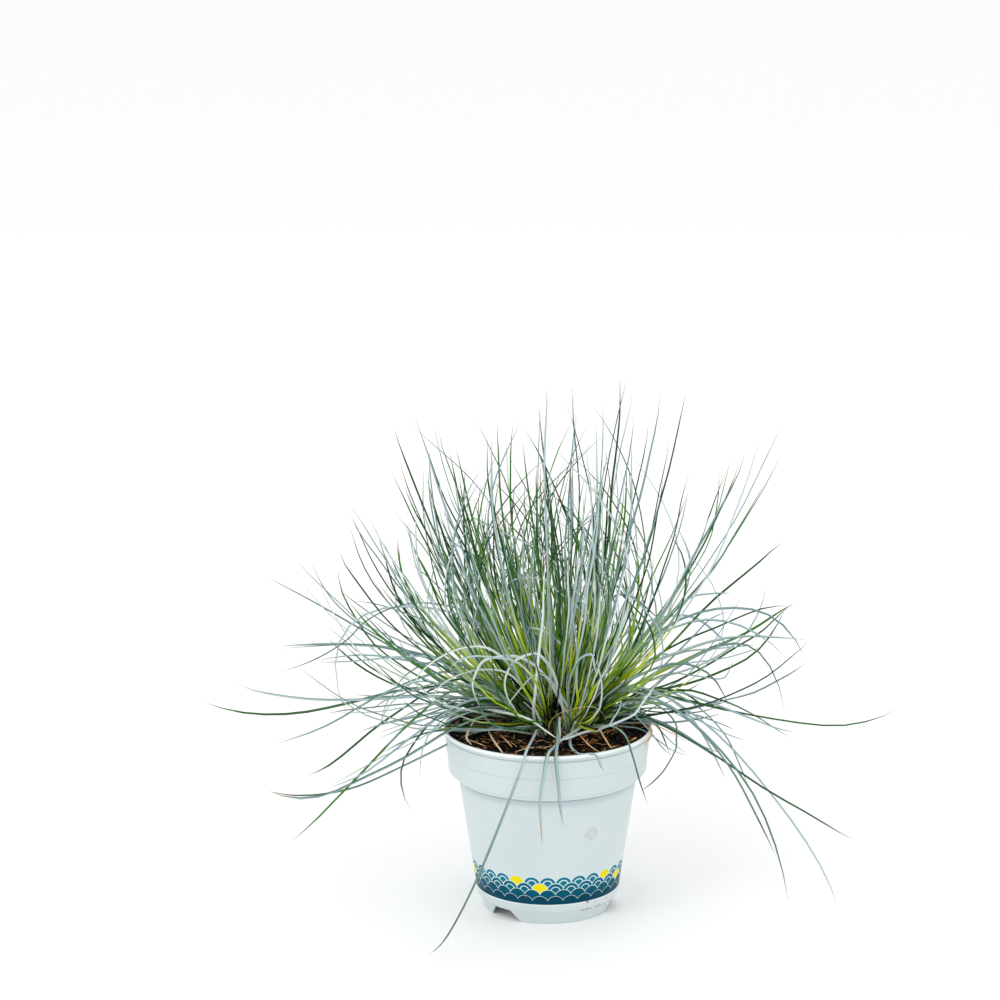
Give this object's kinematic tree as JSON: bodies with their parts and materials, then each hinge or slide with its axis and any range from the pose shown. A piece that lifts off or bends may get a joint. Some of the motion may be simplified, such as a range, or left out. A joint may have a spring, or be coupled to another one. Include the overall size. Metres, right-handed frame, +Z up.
{
  "type": "potted blue fescue clump",
  "caption": "Clump of fine blue-grey fescue grass fanning from a shallow bed of potting soil in a round pale plastic nursery pot with a stepped rim band and a notched foot.",
  "frame": {"origin": "centre of the pot's foot on the ground, under the middle of the rim", "axes": "+Z up, -Y towards the front of the pot, +X to the right seen from the front"},
  "size_m": [0.404, 0.37, 0.313],
  "materials": {
    "pot_plastic": "satin pale blue-grey polypropylene with a printed teal and yellow band near the foot",
    "potting_soil": "dark moist peat with orange-brown wood fibre",
    "fescue_leaf": "glaucous blue-grey leaf with a matt wax bloom, greener in the fold and at the base"
  },
  "bodies": {
    "root": {"pot": "pot_plastic", "soil": "potting_soil", "tuft_centre": "fescue_leaf", "tuft_inner_1": "fescue_leaf", "tuft_inner_2": "fescue_leaf", "tuft_inner_3": "fescue_leaf", "tuft_inner_4": "fescue_leaf", "tuft_inner_5": "fescue_leaf", "tuft_outer_1": "fescue_leaf", "tuft_outer_2": "fescue_leaf", "tuft_outer_3": "fescue_leaf", "tuft_outer_4": "fescue_leaf", "tuft_outer_5": "fescue_leaf", "tuft_outer_6": "fescue_leaf", "tuft_outer_7": "fescue_leaf", "tuft_outer_8": "fescue_leaf", "tuft_outer_9": "fescue_leaf", "tuft_outer_10": "fescue_leaf"}
  },
  "joints": []
}
